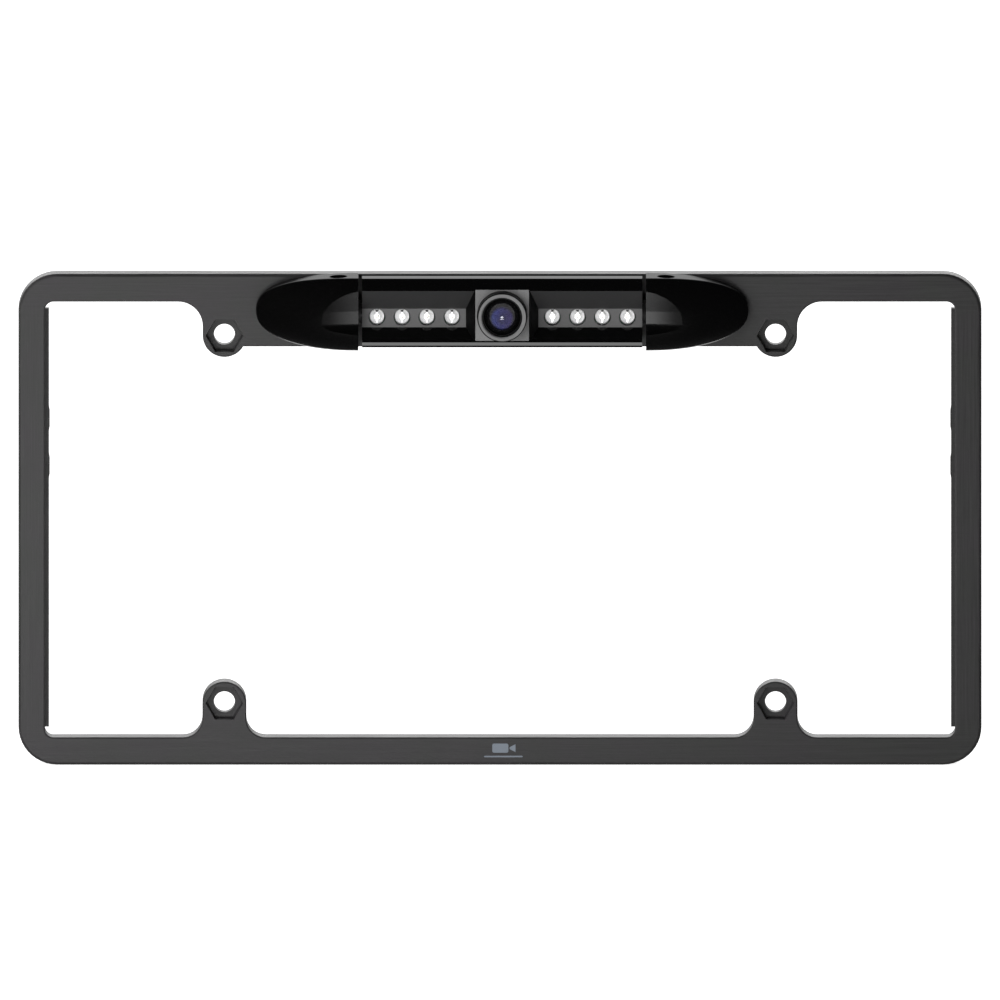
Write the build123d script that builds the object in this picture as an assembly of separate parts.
from build123d import *
import math
import os

# Backup camera built into a licence plate frame. Millimetres, +Z up, the lens looks along -Y.
# The origin is the centre of the four plate bolts, on the frame's rear face.
# "Proud" distances are measured forward (-Y) from the frame's front face.

# ---- plate frame -------------------------------------------------------------------------
BOLT_PITCH_X = 177.8  # 7 in, the standard licence plate pattern
BOLT_PITCH_Z = 120.65  # 4 3/4 in
BOLT_HOLE_R = 3.4
PLATE_W = 310.7
PLATE_H = 161.2
PLATE_DEPTH = 6.0
PLATE_CORNER_R = 12.5
OPENING_W = 293.6
OPENING_H = 143.0
OPENING_CORNER_R = 2.8
BAND_LOW_Z = 56.8  # lower edge of the deep top band
TOP_BOSS_R = 7.0
TOP_FLARE_R = 8.0
TAB_R = 7.1
TAB_ROOT_R = 6.3
HEX_ACROSS_FLATS = 10.6
HEX_DEPTH = 3.0
HEX_DRAFT_DEG = 8.0
OUTER_EDGE_R = 1.0
INNER_EDGE_R = 0.5
LIP_INSET = 1.3  # the rear lip on each side rail stands this far into the opening
LIP_DEPTH = 2.0
LIP_PAD_Z = (32.5, 17.0)  # two low pads on each rear lip, which centre the plate
LIP_PAD_HALF = (4.0, 2.5)  # half-lengths at the lip and at the pad's crest
LIP_PAD_RISE = 0.25
RAIL_WALL = 1.5
FRONT_WALL = 2.0
RIB = 1.5
SIDE_CELLS = 7
SIDE_CELL_Z = 66.0  # the rows of rear pockets reach this far from the middle
BOTTOM_CELLS = 13
BOTTOM_CELL_X = 140.0
TOP_CELLS = 2
TOP_CELL_X = (104.0, 140.0)
CELL_CORNER_R = 1.0
CAP_POCKET_X = (49.0, 77.0)  # the rear pocket behind each cap, from the middle of the housing
CAP_POCKET_MARGIN = 3.0
CAP_POCKET_CORNER_R = 2.0

# ---- housing: the bar and its two end caps, centred on HOUSING_X -------------------------
HOUSING_X = 0.7
PIVOT_Z = 69.1
PIVOT_PROUD = 5.6
CAP_INNER_X = 46.4
CAP_LENGTH = 33.0
CAP_HALF_H = 11.9
CAP_POWER = 2.4  # exponent of the superellipse outline
CAP_WALL_PROUD = 9.4  # height of the side wall at the inner edge
CAP_TIP_WALL = 2.2  # its height at the tip
CAP_TAPER = 1.3
CAP_EDGE_R = 0.8
CROWN_BASE = 8.0  # the crown turns about a line this far behind the frame's front face
CAP_SIDE_WALL = 1.8
CAP_CROWN_WALL = 4.0
CAP_END_WALL = 2.0
BUSH_BOSS_WALL = 1.8
BUSH_BOSS_END = 1.5
LOCK_PILLAR_WALL = 1.3
SCOOP_CREASE = (10.2, 70.3)  # the scoop's section at the cap's inner edge
SCOOP_TOP = (12.6, 82.3)
SCOOP_FOOT = (9.66, 64.9)
SCOOP_LOW = (18.66, 57.2)
SCOOP_FRONT = 22.0
SCOOP_FOOT_R = 2.5
SCOOP_SWEEP_R = 80.0  # the scoop runs out along X on this radius
SCOOP_START_DEG = 5.0  # its slope at the cap's inner edge
SCOOP_SWEEP_DEG = 40.0
CAP_SCREW_X = (60.4, 69.4)
CAP_SCREW_R = 1.5
CAP_SCREW_REACH = 4.6
CAP_SCREW_HEAD = (2.6, 1.6)  # radius, height
CAP_SCREW_HEAD_EDGE_R = 0.6
CAP_SCREW_CROSS = (1.4, 0.3, 0.9)  # half-length, half-width and depth of the cross recess
CAP_SCREW_POST_WALL = 1.5
CAP_SCREW_CLEARANCE = 0.2
HOLE_END_GAP = 0.5

# ---- pivots and lock screws ---------------------------------------------------------------
PIN_R = 3.0
BUSH_R = 4.0
BUSH_LENGTH = 10.0
BUSH_COLLAR = (4.1, 0.9)  # radius and length, outside the cap
PIN_REACH = 9.4
PIN_END_CHAMFER = 0.5
PIN_FLAT_GAP = 0.1
PIN_FLANGE = (4.5, 0.6)  # half-height, thickness
RUNNING_GAP = 0.05
SAME_BODY_GAP = 0.02
LOCK_X = 52.85
LOCK_R = 2.0
LOCK_LENGTH = 6.0
LOCK_MOUTH_R = 2.85
LOCK_MOUTH_DEPTH_GAP = 0.3
LOCK_TIP_CHAMFER = 0.6
LOCK_TOP_CHAMFER = 0.3
LOCK_SOCKET_AF = 2.0
LOCK_SOCKET_DEPTH = 2.2

# ---- bar ----------------------------------------------------------------------------------
BAR_HALF = 45.2
BAR_TOP_Z = 80.9
BAR_LOW_Z = 58.5
BAR_BACK = 4.7  # parting face of the front cover
BAND_EDGE = (9.4, 80.9)
TROUGH_TOP = (11.3, 77.2)
TROUGH_FLOOR_TOP = (6.5, 70.5)
TROUGH_FLOOR_LOW = (6.5, 64.4)
TROUGH_LOW = (11.3, 60.3)
TROUGH_FRONT = 14.0  # beyond the bar's face, where the trough's cutter starts
LOW_FACE_RAKE = 0.3  # the lower face stands this much further back at the bottom
BAR_EDGE_R = 0.4
BAR_FOOT_R = 0.9  # the front cover's bottom edge
COVER_WALL = 1.4
BACK_EDGES = (63.8, 70.9)  # Z of the hollow's flat front, behind the lamp panel
COVER_RIDGES = ((8.6, 79.5), (9.5, 77.8), (9.2, 60.2))  # inner corners of the front cover's hollow
END_WALL = 1.2
GASKET = 0.4
FLANGE = 1.0
FLANGE_Z = (59.0, 80.3)
BARREL_R = 8.6  # round back of the bar, about the pivot
BARREL_HALF = 44.85
BARREL_WALL = 1.2
GLAND_BOSS_R = 5.0
GLAND_BOSS_RISE = 0.4
GLAND_WALL = 1.8
GLAND_NECK_R = 3.0
WINDOW_HALF_X = 45.15
WINDOW_HALF_Z = 8.0
WINDOW_CORNER_R = 1.2
COVER_SCREW_X = (-38.0, -13.0, 13.0, 38.0)
COVER_SCREW_Z = 78.75
COVER_SCREW_R = 0.8
COVER_SCREW_HEAD = (1.2, 0.8)  # radius, height
COVER_SCREW_SINK = 0.5  # how deep the heads sit in the rear cover's flange
COVER_SCREW_REACH = 7.8
COVER_SCREW_CROSS = (0.8, 0.15)  # half-length, half-width
COVER_SCREW_POST = (1.8, 8.6)  # radius, front end
COVER_SCREW_END_GAP = 0.2
COVER_SCREW_GAP = 0.05
COVER_HEAD_GAP = 0.15

# ---- lamps --------------------------------------------------------------------------------
LAMP_X = (40.4, 32.3, 24.3, 16.2)
LAMP_Z = 67.6
LAMP_R = 2.5
LAMP_TIP = 7.6
LAMP_FLANGE = (2.9, 1.0)  # radius, thickness
LAMP_HOLE_R = 2.75
PANEL_END_X = 11.7
PANEL_THICK = 1.2
BOARD_X = (12.6, 43.2)
BOARD_Z = (64.6, 70.6)
BOARD_FACE = 1.2
BOARD_THICK = 1.0
BOARD_CORNER_R = 0.5
FLEX_THICK = 0.25
FLEX_Z = (65.0, 67.6)

# ---- camera -------------------------------------------------------------------------------
LENS_Z = 69.1
BLOCK_FACE = 11.3
BLOCK_THICK = 1.5
BLOCK_W = 17.3
BLOCK_H = 16.7
BLOCK_Z = 69.2
BLOCK_CORNER_R = 0.3
BLOCK_RIM = 0.3
BLOCK_BORE_R = 8.15
RING_R = 8.0
RING_BORE_R = 6.5
RING_BACK = 10.0
RING_FACE = 15.0
RING_BEVEL = 0.35
MOUNT_FACES = (8.4, 8.85, 9.45, 9.9)  # proud faces of the lens barrel's flange and seal groove
MOUNT_R = 7.9
BARREL_FRONT_R = 6.45
BARREL_FRONT = 13.8
BARREL_BACK = 5.9
LENS_SEATS = (4.15, 3.55)  # bore radii at the middle and rear lenses
FRONT_LENS_R = 5.9
FRONT_LENS_SEAT = 11.8
LENS_GAP = 0.05
FRONT_LENS = (FRONT_LENS_R, 11.8, 11.8, 12.8, 14.5)  # radius, back, its edge, front edge, front
MIDDLE_LENS = (4.1, 8.6, 9.2, 10.0, 10.7)
REAR_LENS = (3.5, 6.2, 6.2, 6.9, 7.6)
SEAL_GROOVE_R = 7.2
SEAL_FACES = (8.9, 9.4)
REAR_TUBE_R = 5.2
HOLDER = (12.6, 11.4, 0.8)  # width, height, corner radius
HOLDER_FACES = (3.6, 8.2)
HOLDER_EARS = (15.8, 3.6, 2.0)  # width, height, depth
HOLDER_ROOM = (8.0, 7.4)
HOLDER_STOP = 4.4
HOLDER_STOP_GAP = 0.15
FILTER = (7.0, 6.8)
FILTER_FACES = (5.0, 5.4)
SENSOR = (6.6, 5.6, 0.9)
SENSOR_BOARD = (16.8, 11.6, 0.8)
SENSOR_BOARD_CORNER_R = 0.6
SENSOR_BOARD_FACE = 3.6
SENSOR_SCREW_X = 7.0
SENSOR_SCREW = (0.58, 5.2)  # radius, front end
SENSOR_SCREW_HEAD = (1.0, 0.6)  # radius, height
SENSOR_SCREW_HOLES = (0.6, 0.65)  # radii in the holder and in the board
GROMMET_BORE_R = 1.9
GROMMET_LIP = (4.4, 1.0, 0.6)  # radius, thickness, edge radius
GROMMET_INNER = (3.9, 0.8)  # radius, thickness

FRONT_Y = -PLATE_DEPTH
BOLT_X = BOLT_PITCH_X / 2
BOLT_Z = BOLT_PITCH_Z / 2
SIDES = {"left": -1, "right": 1}
MATCH = 0.01  # two points closer than this are the same point
OVERRUN = 1.0  # how far cutters and joined blocks run past the face they meet
BEYOND = 20.0  # a distance along Y past everything
HOUSING_SPAN = (50.0, 90.0)  # a Z range that takes in the whole housing


# ---- helpers ------------------------------------------------------------------------------
def facing(profile, near, far):
    """A solid with this X-Z outline, from `near` to `far` proud of the frame's front face."""
    return extrude(Plane.XZ.offset(PLATE_DEPTH + near) * profile, far - near, dir=(0, -1, 0))


def along_x(profile, low, high):
    """A solid with this (proud, Z) section, from X = low to X = high."""
    section = Plane(origin=(high, FRONT_Y, 0), x_dir=(0, -1, 0), z_dir=(-1, 0, 0))
    return extrude(section * profile, high - low, dir=(-1, 0, 0))


def along_z(profile, low, high):
    """A solid with this (X, proud) plan, from Z = low to Z = high."""
    plan = Plane(origin=(0, FRONT_Y, high), x_dir=(1, 0, 0), z_dir=(0, 0, -1))
    return extrude(plan * profile, high - low, dir=(0, 0, -1))


def polygon(*points):
    return make_face(Polyline(*points, close=True))


def rectangle(x_low, x_high, z_low, z_high, corner=0.0):
    place = Pos((x_low + x_high) / 2, (z_low + z_high) / 2)
    if corner:
        return place * RectangleRounded(x_high - x_low, z_high - z_low, corner)
    return place * Rectangle(x_high - x_low, z_high - z_low)


def disc(radius, near, far, x=0.0, z=LENS_Z):
    """A cylinder along Y, by its radius and its two proud distances."""
    return facing(Pos(x, z) * Circle(radius), near, far)


def shaft(radius, low, high):
    """A cylinder along X about the pivot line."""
    return along_x(Pos(PIVOT_PROUD, PIVOT_Z) * Circle(radius), low, high)


def turned(*points):
    """A ring turned about the lens axis from (radius, proud) corners."""
    plan = Plane(origin=(0, FRONT_Y, LENS_Z), x_dir=(1, 0, 0), z_dir=(0, 0, -1))
    return revolve(plan * polygon(*points), Axis((0, FRONT_Y, LENS_Z), (0, -1, 0)))


def lens(radius, back, edge_back, edge_front, front):
    """A glass with a straight edge, and a spherical face wherever the centre stands further out."""
    faces = []
    for crest, edge in ((back, edge_back), (front, edge_front)):
        if crest == edge:
            faces.append(Line((0, crest), (radius, edge)))
        else:
            faces.append(TangentArc((0, crest), (radius, edge), tangent=(1, 0)))
    rim = Line((radius, edge_back), (radius, edge_front))
    axis_line = Line((0, front), (0, back))
    plan = Plane(origin=(0, FRONT_Y, LENS_Z), x_dir=(1, 0, 0), z_dir=(0, 0, -1))
    half = make_face([*faces, rim, axis_line])
    return revolve(plan * half, Axis((0, FRONT_Y, LENS_Z), (0, -1, 0)))


def mirrored(solid, side):
    """The right-hand solid as it is, or its mirror image for the left side."""
    return mirror(solid, Plane.YZ) if side < 0 else solid


def near_vertices(sketch, point, reach=0.5):
    return [v for v in sketch.vertices() if math.hypot(v.X - point[0], v.Y - point[1]) < reach]


# ---- plate frame --------------------------------------------------------------------------
def inside_corner(x, z, radius, out_x, out_z):
    """The fill of a concave corner at (x, z), which opens towards (out_x, out_z)."""
    square = Pos(x + out_x * radius / 2, z + out_z * radius / 2) * Rectangle(radius, radius)
    return square - Pos(x + out_x * radius, z + out_z * radius) * Circle(radius)


def frame_outline():
    rail_in = OPENING_H / 2
    shape = RectangleRounded(PLATE_W, PLATE_H, PLATE_CORNER_R)
    shape -= RectangleRounded(OPENING_W, OPENING_H, OPENING_CORNER_R)
    shape += rectangle(-BOLT_X, BOLT_X, BAND_LOW_Z, rail_in + OVERRUN)
    for side in SIDES.values():
        x = side * BOLT_X
        boss_side = x + side * TOP_BOSS_R
        shape += Pos(x, BOLT_Z) * Circle(TOP_BOSS_R)
        shape += rectangle(min(x, boss_side), max(x, boss_side), BOLT_Z, rail_in + OVERRUN)
        shape += inside_corner(boss_side, rail_in, TOP_FLARE_R, side, -1)
        shape += Pos(x, -BOLT_Z) * Circle(TAB_R)
        shape += rectangle(x - TAB_R, x + TAB_R, -rail_in - OVERRUN, -BOLT_Z)
        for way in (-1, 1):
            shape += inside_corner(x + way * TAB_R, -rail_in, TAB_ROOT_R, way, 1)
    return shape


def cell_row(low, high, count):
    """The (low, high) spans of `count` equal cells with ribs between them."""
    width = (high - low - RIB * (count - 1)) / count
    return [(low + i * (width + RIB), low + i * (width + RIB) + width) for i in range(count)]


def rear_cells():
    """Outlines of the pockets that lighten the frame from behind."""
    rail_x = (OPENING_W / 2 + RAIL_WALL, PLATE_W / 2 - RAIL_WALL)
    rail_z = (OPENING_H / 2 + RAIL_WALL, PLATE_H / 2 - RAIL_WALL)
    cells = Sketch()
    corner = CELL_CORNER_R
    for low, high in cell_row(-SIDE_CELL_Z, SIDE_CELL_Z, SIDE_CELLS):
        cells += rectangle(*rail_x, low, high, corner)
        cells += rectangle(-rail_x[1], -rail_x[0], low, high, corner)
    for low, high in cell_row(-BOTTOM_CELL_X, BOTTOM_CELL_X, BOTTOM_CELLS):
        cells += rectangle(low, high, -rail_z[1], -rail_z[0], corner)
    for low, high in cell_row(*TOP_CELL_X, TOP_CELLS):
        cells += rectangle(low, high, *rail_z, corner)
        cells += rectangle(-high, -low, *rail_z, corner)
    pocket_z = (BAND_LOW_Z + CAP_POCKET_MARGIN, PLATE_H / 2 - CAP_POCKET_MARGIN)
    for side in SIDES.values():
        ends = sorted(HOUSING_X + side * x for x in CAP_POCKET_X)
        cells += rectangle(*ends, *pocket_z, CAP_POCKET_CORNER_R)
    return cells


def lip_pad(side, z):
    """A low pad with sloped ends on the edge of a rear lip."""
    edge = OPENING_W / 2 - LIP_INSET
    base, crest = LIP_PAD_HALF
    upper = [(OVERRUN, base), (0, base), (-LIP_PAD_RISE, crest)]
    lower = [(out, -along) for out, along in reversed(upper)]
    return polygon(*[(side * (edge + out), z + along) for out, along in upper + lower])


def plate_frame():
    solid = facing(frame_outline(), -PLATE_DEPTH, 0)
    front = solid.faces().sort_by(Axis.Y)[0]
    outer = front.outer_wire().edges()
    inner = front.inner_wires()[0].edges()
    solid = fillet(outer, OUTER_EDGE_R)
    inner_middles = [edge @ 0.5 for edge in inner]
    same = [e for e in solid.edges() if any((e @ 0.5 - m).length < MATCH for m in inner_middles)]
    solid = fillet(same, INNER_EDGE_R)

    lip_x = OPENING_W / 2
    lip_z = OPENING_H / 2 - OPENING_CORNER_R
    for side in SIDES.values():
        ends = sorted((side * (lip_x - LIP_INSET), side * (lip_x + OVERRUN)))
        solid += facing(rectangle(*ends, -lip_z, lip_z), -PLATE_DEPTH, LIP_DEPTH - PLATE_DEPTH)
        for z in LIP_PAD_Z:
            solid += facing(lip_pad(side, z), -PLATE_DEPTH, LIP_DEPTH - PLATE_DEPTH)
        for x in CAP_SCREW_X:
            hole_r = CAP_SCREW_R + CAP_SCREW_CLEARANCE
            solid -= disc(hole_r, -PLATE_DEPTH, OVERRUN, HOUSING_X + side * x, PIVOT_Z)
        for z in (-BOLT_Z, BOLT_Z):
            solid -= disc(BOLT_HOLE_R, -PLATE_DEPTH - OVERRUN, OVERRUN, side * BOLT_X, z)
            face = Plane(origin=(side * BOLT_X, FRONT_Y, z), x_dir=(1, 0, 0), z_dir=(0, 1, 0))
            hexagon = RegularPolygon(HEX_ACROSS_FLATS / math.sqrt(3), 6)
            solid -= extrude(face * hexagon, HEX_DEPTH, taper=HEX_DRAFT_DEG)
    solid -= facing(rear_cells(), -PLATE_DEPTH, -FRONT_WALL)
    window = Pos(HOUSING_X, PIVOT_Z) * RectangleRounded(
        2 * WINDOW_HALF_X, 2 * WINDOW_HALF_Z, WINDOW_CORNER_R
    )
    return solid - facing(window, -PLATE_DEPTH, OVERRUN)


# ---- end caps -----------------------------------------------------------------------------
def superellipse(turn, length, half_height):
    """A point on the cap's outline: turn 0 is the tip and 90 degrees the inner edge."""
    angle = math.radians(turn)
    along = math.cos(angle) ** (2 / CAP_POWER)
    across = math.sin(angle) ** (2 / CAP_POWER)
    return length * along, half_height * across


def cap_outline(length, half_height):
    upper = [superellipse(turn, length, half_height) for turn in range(90, -1, -10)]
    lower = [(x, -z) for x, z in reversed(upper[:-1])]
    curve = Spline(*upper, *lower, tangents=((1, 0), (-1, 0)))
    edge = Line(curve @ 1, curve @ 0)
    return Pos(CAP_INNER_X, PIVOT_Z) * make_face([curve, edge])


def crown_radius(turn):
    """The crown's radius about its axis, chosen so that its edge meets the side wall's top."""
    along, half_height = superellipse(turn, 1, CAP_HALF_H)
    wall = CAP_TIP_WALL + (CAP_WALL_PROUD - CAP_TIP_WALL) * (1 - along**2) ** CAP_TAPER
    return math.hypot(CROWN_BASE + wall, half_height)


def crown(drop):
    """The solid under the cap's crowned front, lowered by `drop`, and a little longer than the cap."""
    ridge = []
    for turn in range(90, -1, -10):
        x = superellipse(turn, CAP_LENGTH, CAP_HALF_H)[0]
        ridge.append((CAP_INNER_X + x, crown_radius(turn) - drop))
    low = CAP_INNER_X - OVERRUN
    high = CAP_INNER_X + CAP_LENGTH + OVERRUN
    curve = Spline(*ridge)
    rest = Polyline(curve @ 1, (high, ridge[-1][1]), (high, 0), (low, 0), (low, ridge[0][1]), curve @ 0)
    axis_y = FRONT_Y + CROWN_BASE
    behind = Plane(origin=(0, axis_y, PIVOT_Z), x_dir=(1, 0, 0), z_dir=(0, 0, 1))
    return revolve(behind * make_face([curve, *rest.edges()]), Axis((0, axis_y, PIVOT_Z), (1, 0, 0)))


def scoop():
    """The cutter that carries the bar's trough into the cap, and curves outwards along X."""
    start = math.radians(SCOOP_START_DEG)
    axis_x = CAP_INNER_X - SCOOP_SWEEP_R * math.sin(start)
    back = SCOOP_SWEEP_R * (1 - math.cos(start))
    corners = (SCOOP_CREASE, SCOOP_TOP, (SCOOP_FRONT, SCOOP_TOP[1]), (SCOOP_FRONT, SCOOP_LOW[1]),
               SCOOP_LOW, SCOOP_FOOT)
    profile = polygon(*[(proud - back, z) for proud, z in corners])
    profile = fillet(near_vertices(profile, (SCOOP_FOOT[0] - back, SCOOP_FOOT[1])), SCOOP_FOOT_R)
    section = Plane(origin=(axis_x, FRONT_Y, 0), x_dir=(0, -1, 0), z_dir=(-1, 0, 0))
    axis_y = FRONT_Y - SCOOP_CREASE[0] + back - SCOOP_SWEEP_R
    axis = Axis((axis_x, axis_y, 0), (0, 0, -1))
    return revolve(section * profile, axis, revolution_arc=SCOOP_SWEEP_DEG)


def lock_hole(radius, low, high):
    return along_z(Pos(LOCK_X, PIVOT_PROUD) * Circle(radius), low, high)


def crowned_block():
    """The cap before it is hollowed, with the edge between its crown and side wall rounded."""
    solid = facing(cap_outline(CAP_LENGTH, CAP_HALF_H), 0, BEYOND) & crown(0)
    rim = [
        edge for edge in solid.edges()
        if edge.bounding_box().max.Y < FRONT_Y - CAP_TIP_WALL / 2
        and edge.bounding_box().max.X > CAP_INNER_X + CAP_LENGTH / 2
    ]
    return fillet(rim, CAP_EDGE_R)


def end_cap():
    """The right-hand cap: a hollow shell with a bush boss, a lock screw pillar and screw posts."""
    far_z = HOUSING_SPAN[1]
    solid = crowned_block()
    solid -= scoop()
    inner_outline = cap_outline(CAP_LENGTH - CAP_SIDE_WALL - OVERRUN, CAP_HALF_H - CAP_SIDE_WALL)
    hollow = facing(inner_outline, -OVERRUN, BEYOND) & crown(CAP_CROWN_WALL)
    hollow -= facing(rectangle(0, CAP_INNER_X + CAP_END_WALL, *HOUSING_SPAN), -OVERRUN, BEYOND)
    boss_end = CAP_INNER_X + BUSH_LENGTH + BUSH_BOSS_END
    hollow -= shaft(BUSH_R + BUSH_BOSS_WALL, CAP_INNER_X, boss_end)
    hollow -= lock_hole(LOCK_MOUTH_R + LOCK_PILLAR_WALL, PIVOT_Z, far_z)
    for x in CAP_SCREW_X:
        hollow -= disc(CAP_SCREW_R + CAP_SCREW_POST_WALL, -OVERRUN, BEYOND, x, PIVOT_Z)
    solid -= hollow
    solid -= shaft(BUSH_R + SAME_BODY_GAP, CAP_INNER_X - OVERRUN, CAP_INNER_X + BUSH_LENGTH)
    solid -= lock_hole(LOCK_R + RUNNING_GAP, PIVOT_Z, far_z)
    solid -= lock_hole(LOCK_MOUTH_R, lock_top() + LOCK_MOUTH_DEPTH_GAP, far_z)
    hole_end = CAP_SCREW_REACH + HOLE_END_GAP
    for x in CAP_SCREW_X:
        solid -= disc(CAP_SCREW_R + SAME_BODY_GAP, -OVERRUN, hole_end, x, PIVOT_Z)
    return solid


def cap_screws():
    """Four pan-head screws, from the pockets behind the frame into the caps."""
    head_r, head_h = CAP_SCREW_HEAD
    arm, half_width, depth = CAP_SCREW_CROSS
    seat = -FRONT_WALL
    screws = Part()
    for side in SIDES.values():
        for x in CAP_SCREW_X:
            screw = disc(head_r, seat - head_h, seat, side * x, PIVOT_Z)
            screw = fillet(screw.edges().group_by(Axis.Y)[-1], CAP_SCREW_HEAD_EDGE_R)
            screw += disc(CAP_SCREW_R, seat, CAP_SCREW_REACH, side * x, PIVOT_Z)
            for cross in (Rectangle(2 * arm, 2 * half_width), Rectangle(2 * half_width, 2 * arm)):
                recess = Pos(side * x, PIVOT_Z) * cross
                screw -= facing(recess, seat - head_h - OVERRUN, seat - head_h + depth)
            screws += screw
    return screws


# ---- pivots and lock screws ---------------------------------------------------------------
def pivot_bush():
    """A sleeve in the cap, with a collar that takes up the gap beside the bar."""
    collar_r, collar_length = BUSH_COLLAR
    bush = shaft(BUSH_R, CAP_INNER_X, CAP_INNER_X + BUSH_LENGTH)
    bush += shaft(collar_r, CAP_INNER_X - collar_length, CAP_INNER_X)
    bush -= shaft(PIN_R + RUNNING_GAP, 0, 2 * CAP_INNER_X)
    return bush - lock_hole(LOCK_R + RUNNING_GAP, PIVOT_Z, HOUSING_SPAN[1])


def pin_shank(gap, low, high):
    """The pivot pin's flatted length, which keeps behind the trough's wall."""
    flat = TROUGH_FLOOR_TOP[0] - COVER_WALL - PIN_FLAT_GAP
    behind_flat = rectangle(-BEYOND, flat + gap, *HOUSING_SPAN)
    return shaft(PIN_R + gap, low, high) & along_x(behind_flat, low, high)


def pivot_pin():
    """A stub with a flatted shank through the bar's end wall and a flange inside it."""
    half_height, thick = PIN_FLANGE
    wall = BAR_HALF - END_WALL
    flat = TROUGH_FLOOR_TOP[0] - COVER_WALL - PIN_FLAT_GAP
    stub = shaft(PIN_R, BAR_HALF, CAP_INNER_X + PIN_REACH)
    stub = chamfer(stub.edges().group_by(Axis.X)[-1], PIN_END_CHAMFER)
    flange = rectangle(0, flat, PIVOT_Z - half_height, PIVOT_Z + half_height)
    return stub + pin_shank(0, wall - thick, BAR_HALF) + along_x(flange, wall - thick, wall)


def lock_low():
    return PIVOT_Z + PIN_R + RUNNING_GAP


def lock_top():
    return lock_low() + LOCK_LENGTH


def lock_screw():
    """A socket set screw whose tip clamps the pivot pin."""
    screw = lock_hole(LOCK_R, lock_low(), lock_top())
    screw = chamfer(screw.edges().group_by(Axis.Z)[0], LOCK_TIP_CHAMFER)
    screw = chamfer(screw.edges().group_by(Axis.Z)[-1], LOCK_TOP_CHAMFER)
    socket = RegularPolygon(LOCK_SOCKET_AF / math.sqrt(3), 6)
    bottom = lock_top() - LOCK_SOCKET_DEPTH
    return screw - along_z(Pos(LOCK_X, PIVOT_PROUD) * socket, bottom, HOUSING_SPAN[1])


# ---- bar ----------------------------------------------------------------------------------
def bar_section():
    corners = [BAND_EDGE, TROUGH_TOP, TROUGH_LOW]
    low_front = TROUGH_LOW[0] - LOW_FACE_RAKE
    section = polygon(
        (BAR_BACK, BAR_TOP_Z),
        BAND_EDGE,
        TROUGH_TOP,
        TROUGH_LOW,
        (low_front, BAR_LOW_Z),
        (BAR_BACK, BAR_LOW_Z),
    )
    section = fillet([v for corner in corners for v in near_vertices(section, corner)], BAR_EDGE_R)
    return fillet(near_vertices(section, (low_front, BAR_LOW_Z)), BAR_FOOT_R)


def trough():
    """The right-hand trough: two slopes and a flat floor, open at the bar's end."""
    front = TROUGH_FRONT
    end = BAR_HALF + OVERRUN
    rise = (TROUGH_TOP[1] - TROUGH_FLOOR_TOP[1]) / (TROUGH_TOP[0] - TROUGH_FLOOR_TOP[0])
    fall = (TROUGH_FLOOR_LOW[1] - TROUGH_LOW[1]) / (TROUGH_LOW[0] - TROUGH_FLOOR_LOW[0])
    floor = TROUGH_FLOOR_TOP[0]
    section = polygon(
        TROUGH_FLOOR_TOP,
        (front, TROUGH_FLOOR_TOP[1] + rise * (front - floor)),
        (front, TROUGH_FLOOR_LOW[1] - fall * (front - floor)),
        TROUGH_FLOOR_LOW,
    )
    block_side = BLOCK_W / 2 + BLOCK_RIM
    lean = (PANEL_END_X - block_side) / (BLOCK_FACE - floor)
    plan = polygon(
        (PANEL_END_X, floor),
        (end, floor),
        (end, front),
        (PANEL_END_X - lean * (front - floor), front),
    )
    return along_x(section, 0, end) & along_z(plan, *HOUSING_SPAN)


def cover_hollow():
    """The space inside the front cover, behind the trough's walls."""
    back = TROUGH_FLOOR_TOP[0] - COVER_WALL
    top_ridge, upper_ridge, lower_ridge = COVER_RIDGES
    section = polygon(
        (BAR_BACK - OVERRUN, BAR_TOP_Z - COVER_WALL),
        top_ridge,
        upper_ridge,
        (back, BACK_EDGES[1]),
        (back, BACK_EDGES[0]),
        lower_ridge,
        (lower_ridge[0], BAR_LOW_Z + COVER_WALL),
        (BAR_BACK - OVERRUN, BAR_LOW_Z + COVER_WALL),
    )
    return along_x(section, -BAR_HALF + END_WALL, BAR_HALF - END_WALL)


def bar_front_cover():
    solid = along_x(bar_section(), -BAR_HALF, BAR_HALF)
    hollow = cover_hollow()
    post_r, post_end = COVER_SCREW_POST
    for x in COVER_SCREW_X:
        hollow -= disc(post_r, BAR_BACK - OVERRUN, post_end, x, COVER_SCREW_Z)
    solid -= hollow
    wall = BAR_HALF - END_WALL
    floor_z = (TROUGH_FLOOR_LOW[1], TROUGH_FLOOR_TOP[1])
    floor = TROUGH_FLOOR_TOP[0]
    panel_gap = rectangle(PANEL_END_X, BAR_HALF + OVERRUN, *floor_z)
    panel_gap = facing(panel_gap, floor - PANEL_THICK, floor + OVERRUN)
    lamp_gap = facing(rectangle(PANEL_END_X, wall, *floor_z), BAR_BACK, floor)
    for side in SIDES.values():
        solid -= mirrored(trough(), side)
        solid -= mirrored(panel_gap, side)
        solid -= mirrored(lamp_gap, side)
        solid -= mirrored(pin_shank(SAME_BODY_GAP, wall - OVERRUN, BAR_HALF + OVERRUN), side)
    solid -= disc(BLOCK_BORE_R + LENS_GAP, BAR_BACK - OVERRUN, BEYOND)
    solid -= facing(block_outline(SAME_BODY_GAP), BLOCK_FACE - BLOCK_THICK, BEYOND)
    hole_end = COVER_SCREW_REACH + COVER_SCREW_END_GAP
    for x in COVER_SCREW_X:
        hole_r = COVER_SCREW_R + SAME_BODY_GAP
        solid -= disc(hole_r, BAR_BACK - OVERRUN, hole_end, x, COVER_SCREW_Z)
    return solid


def gland_back():
    return PIVOT_PROUD - BARREL_R - GLAND_BOSS_RISE


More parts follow.
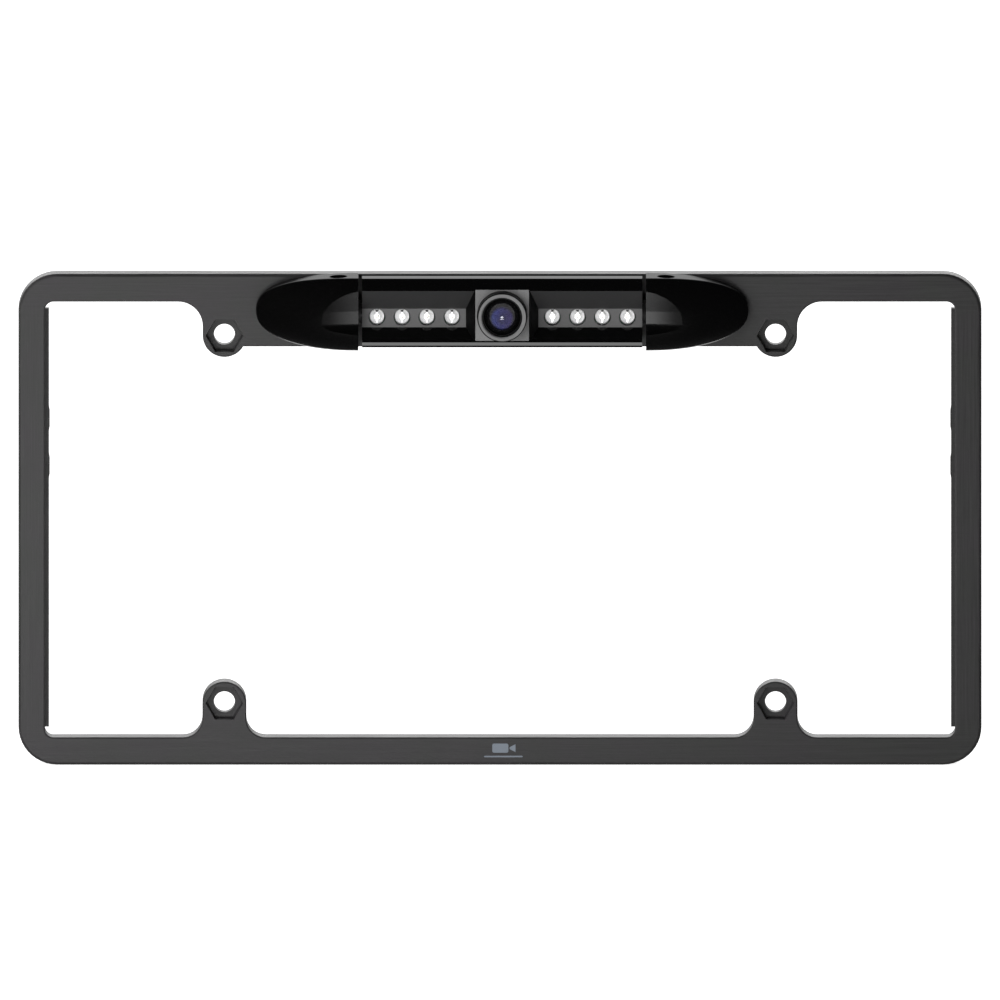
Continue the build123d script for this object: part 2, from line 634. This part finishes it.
def bar_rear_cover():
    """A flange round the parting face and a round back that turns in the frame's window."""
    seat = BAR_BACK - GASKET
    flange_back = seat - FLANGE
    inner_face = gland_back() + GLAND_WALL
    solid = facing(rectangle(-BAR_HALF, BAR_HALF, *FLANGE_Z), flange_back, seat)
    behind = rectangle(-BEYOND, seat, *HOUSING_SPAN)
    round_back = Pos(PIVOT_PROUD, PIVOT_Z) * Circle(BARREL_R) & behind
    solid += along_x(round_back, -BARREL_HALF, BARREL_HALF)
    solid += disc(GLAND_BOSS_R, gland_back(), 0, 0, PIVOT_Z)
    inside = Pos(PIVOT_PROUD, PIVOT_Z) * Circle(BARREL_R - BARREL_WALL)
    room = along_x(inside, -BAR_HALF + END_WALL, BAR_HALF - END_WALL)
    room -= disc(GLAND_BOSS_R, gland_back(), inner_face, 0, PIVOT_Z)
    room += disc(GLAND_BOSS_R - OVERRUN, inner_face, 0, 0, PIVOT_Z)
    solid -= room
    solid -= disc(GLAND_NECK_R + SAME_BODY_GAP, gland_back() - OVERRUN, 0, 0, PIVOT_Z)
    solid -= shaft(PIN_R + SAME_BODY_GAP, -BAR_HALF - OVERRUN, BAR_HALF + OVERRUN)
    for x in COVER_SCREW_X:
        hole_r = COVER_SCREW_R + COVER_SCREW_GAP
        solid -= disc(hole_r, flange_back - OVERRUN, seat + OVERRUN, x, COVER_SCREW_Z)
        sink_r = COVER_SCREW_HEAD[0] + COVER_HEAD_GAP
        solid -= disc(sink_r, 0, flange_back + COVER_SCREW_SINK, x, COVER_SCREW_Z)
    return solid


def bar_gasket():
    inner_z = (BAR_LOW_Z + COVER_WALL, BAR_TOP_Z - COVER_WALL)
    inner_x = BAR_HALF - END_WALL
    ring = rectangle(-BAR_HALF, BAR_HALF, *FLANGE_Z) - rectangle(-inner_x, inner_x, *inner_z)
    solid = facing(ring, BAR_BACK - GASKET, BAR_BACK)
    for x in COVER_SCREW_X:
        solid -= disc(COVER_SCREW_R + COVER_SCREW_GAP, 0, BEYOND, x, COVER_SCREW_Z)
    return solid - shaft(PIN_R + SAME_BODY_GAP, -BAR_HALF - OVERRUN, BAR_HALF + OVERRUN)


def bar_cover_screws():
    seat = BAR_BACK - GASKET - FLANGE + COVER_SCREW_SINK
    head_r, head_h = COVER_SCREW_HEAD
    arm, half_width = COVER_SCREW_CROSS
    screws = Part()
    for x in COVER_SCREW_X:
        screw = disc(head_r, seat - head_h, seat, x, COVER_SCREW_Z)
        screw += disc(COVER_SCREW_R, seat, COVER_SCREW_REACH, x, COVER_SCREW_Z)
        for cross in (Rectangle(2 * arm, 2 * half_width), Rectangle(2 * half_width, 2 * arm)):
            recess = Pos(x, COVER_SCREW_Z) * cross
            screw -= facing(recess, seat - head_h - OVERRUN, seat - head_h / 2)
        screws += screw
    return screws


def cable_grommet():
    """The rubber gland that the camera's cable would leave through."""
    lip_r, lip_thick, lip_edge = GROMMET_LIP
    inner_r, inner_thick = GROMMET_INNER
    back = gland_back()
    inner_face = back + GLAND_WALL
    lip = disc(lip_r, back - lip_thick, back, 0, PIVOT_Z)
    lip = fillet(lip.edges().group_by(Axis.Y)[-1], lip_edge)
    body = lip + disc(GLAND_NECK_R, back, inner_face, 0, PIVOT_Z)
    body += disc(inner_r, inner_face, inner_face + inner_thick, 0, PIVOT_Z)
    return body - disc(GROMMET_BORE_R, -BEYOND, BEYOND, 0, PIVOT_Z)


# ---- lamps --------------------------------------------------------------------------------
def lamp_panel():
    face = TROUGH_FLOOR_TOP[0]
    strip = rectangle(PANEL_END_X, BAR_HALF, TROUGH_FLOOR_LOW[1], TROUGH_FLOOR_TOP[1])
    panel = facing(strip, face - PANEL_THICK, face)
    for x in LAMP_X:
        panel -= disc(LAMP_HOLE_R, 0, BEYOND, x, LAMP_Z)
    return panel


def lamp_board():
    board = rectangle(*BOARD_X, *BOARD_Z, BOARD_CORNER_R)
    return facing(board, BOARD_FACE - BOARD_THICK, BOARD_FACE)


def lamp(x):
    """A round 5 mm lamp: flange, straight body and domed tip."""
    dome_base = LAMP_TIP - LAMP_R
    body = disc(LAMP_R, BOARD_FACE, dome_base, x, LAMP_Z)
    flange_r, flange_thick = LAMP_FLANGE
    body += disc(flange_r, BOARD_FACE, BOARD_FACE + flange_thick, x, LAMP_Z)
    ball = Pos(x, FRONT_Y - dome_base, LAMP_Z) * Sphere(LAMP_R)
    return body + (ball & disc(flange_r, dome_base, BEYOND, x, LAMP_Z))


def lamp_flex():
    """A flat ribbon from behind the lamp board to behind the sensor board."""
    thick = FLEX_THICK
    low = BOARD_FACE - BOARD_THICK
    high = SENSOR_BOARD_FACE - SENSOR_BOARD[2]
    plan = polygon(
        (15.0, low),
        (15.0, low - thick),
        (11.0, low - thick),
        (8.5, high - thick),
        (5.4, high - thick),
        (5.4, high),
        (8.6, high),
        (11.1, low),
    )
    return along_z(plan, *FLEX_Z)


# ---- camera -------------------------------------------------------------------------------
def block_outline(gap):
    block = RectangleRounded(BLOCK_W + 2 * gap, BLOCK_H + 2 * gap, BLOCK_CORNER_R)
    return Pos(0, BLOCK_Z) * block


def camera_block():
    plate = facing(block_outline(0), BLOCK_FACE - BLOCK_THICK, BLOCK_FACE)
    return plate - disc(BLOCK_BORE_R, 0, BEYOND)


def lens_ring():
    return turned(
        (RING_BORE_R, RING_BACK),
        (RING_R, RING_BACK),
        (RING_R, RING_FACE - RING_BEVEL),
        (RING_R - RING_BEVEL, RING_FACE),
        (RING_BORE_R + RING_BEVEL, RING_FACE),
        (RING_BORE_R, RING_FACE - RING_BEVEL),
    )


def lens_barrel():
    """The tube that holds the lenses: a flange with a seal groove, and a rim and a tail."""
    flange_back, groove_back, groove_front, flange_front = MOUNT_FACES
    middle_r, rear_r = LENS_SEATS
    front_r = FRONT_LENS_R + LENS_GAP
    return turned(
        (middle_r, flange_back),
        (rear_r, flange_back),
        (rear_r, BARREL_BACK),
        (REAR_TUBE_R, BARREL_BACK),
        (REAR_TUBE_R, flange_back),
        (MOUNT_R, flange_back),
        (MOUNT_R, groove_back),
        (SEAL_GROOVE_R, groove_back),
        (SEAL_GROOVE_R, groove_front),
        (MOUNT_R, groove_front),
        (MOUNT_R, flange_front),
        (BARREL_FRONT_R, flange_front),
        (BARREL_FRONT_R, BARREL_FRONT),
        (front_r, BARREL_FRONT),
        (front_r, FRONT_LENS_SEAT),
        (middle_r, FRONT_LENS_SEAT),
    )


def lens_seal():
    return disc(BLOCK_BORE_R, *SEAL_FACES) - disc(SEAL_GROOVE_R + LENS_GAP, 0, BEYOND)


def on_axis(shape, near, far):
    """A solid with this outline about the lens axis, between two proud distances."""
    return facing(Pos(0, LENS_Z) * shape, near, far)


def lens_holder():
    """A square holder with two ears, the lens thread in front and the sensor's room behind."""
    back, front = HOLDER_FACES
    ear_w, ear_h, ear_depth = HOLDER_EARS
    body = on_axis(RectangleRounded(*HOLDER), back, front)
    body += on_axis(Rectangle(ear_w, ear_h), back, back + ear_depth)
    body -= disc(REAR_TUBE_R + SAME_BODY_GAP, BARREL_BACK - HOLDER_STOP_GAP, BEYOND)
    body -= on_axis(Rectangle(*HOLDER_ROOM), 0, FILTER_FACES[1])
    body -= on_axis(Rectangle(HOLDER_STOP, HOLDER_STOP), 0, BARREL_BACK)
    for side in SIDES.values():
        hole_end = SENSOR_SCREW[1] + HOLDER_STOP_GAP
        body -= disc(SENSOR_SCREW_HOLES[0], 0, hole_end, side * SENSOR_SCREW_X)
    return body


def sensor_board():
    width, height, thick = SENSOR_BOARD
    outline = RectangleRounded(width, height, SENSOR_BOARD_CORNER_R)
    solid = on_axis(outline, SENSOR_BOARD_FACE - thick, SENSOR_BOARD_FACE)
    for side in SIDES.values():
        solid -= disc(SENSOR_SCREW_HOLES[1], 0, BEYOND, side * SENSOR_SCREW_X)
    return solid


def sensor_board_screws():
    back = SENSOR_BOARD_FACE - SENSOR_BOARD[2]
    radius, end = SENSOR_SCREW
    head_r, head_h = SENSOR_SCREW_HEAD
    screws = Part()
    for side in SIDES.values():
        x = side * SENSOR_SCREW_X
        screws += disc(head_r, back - head_h, back, x) + disc(radius, back, end, x)
    return screws


# ---- the whole assembly -------------------------------------------------------------------
def housing_nodes():
    """Every piece of the housing, modelled about X = 0."""
    nodes = {
        "cap_screws": cap_screws(),
        "bar_front_cover": bar_front_cover(),
        "bar_rear_cover": bar_rear_cover(),
        "bar_gasket": bar_gasket(),
        "bar_cover_screws": bar_cover_screws(),
        "cable_grommet": cable_grommet(),
        "camera_block": camera_block(),
        "lens_ring": lens_ring(),
        "lens_barrel": lens_barrel(),
        "lens_seal": lens_seal(),
        "front_lens": lens(*FRONT_LENS),
        "middle_lens": lens(*MIDDLE_LENS),
        "rear_lens": lens(*REAR_LENS),
        "lens_holder": lens_holder(),
        "ir_cut_filter": on_axis(Rectangle(*FILTER), *FILTER_FACES),
        "image_sensor": on_axis(Rectangle(*SENSOR[:2]), SENSOR_BOARD_FACE, SENSOR_BOARD_FACE + SENSOR[2]),
        "sensor_board": sensor_board(),
        "sensor_board_screws": sensor_board_screws(),
    }
    for name, side in SIDES.items():
        nodes[f"{name}_end_cap"] = mirrored(end_cap(), side)
        nodes[f"{name}_pivot_bush"] = mirrored(pivot_bush(), side)
        nodes[f"{name}_pivot_pin"] = mirrored(pivot_pin(), side)
        nodes[f"{name}_lock_screw"] = mirrored(lock_screw(), side)
        nodes[f"{name}_lamp_panel"] = mirrored(lamp_panel(), side)
        nodes[f"{name}_lamp_board"] = mirrored(lamp_board(), side)
        nodes[f"{name}_lamp_flex"] = mirrored(lamp_flex(), side)
        for number, x in enumerate(LAMP_X, start=1):
            nodes[f"{name}_lamp_{number}"] = lamp(side * x)
    return nodes


def main():
    os.makedirs("parts", exist_ok=True)
    nodes = {"plate_frame": plate_frame()}
    for name, solid in housing_nodes().items():
        nodes[name] = Pos(HOUSING_X, 0, 0) * solid
    for name, solid in nodes.items():
        export_step(solid, f"parts/{name}.step")


main()
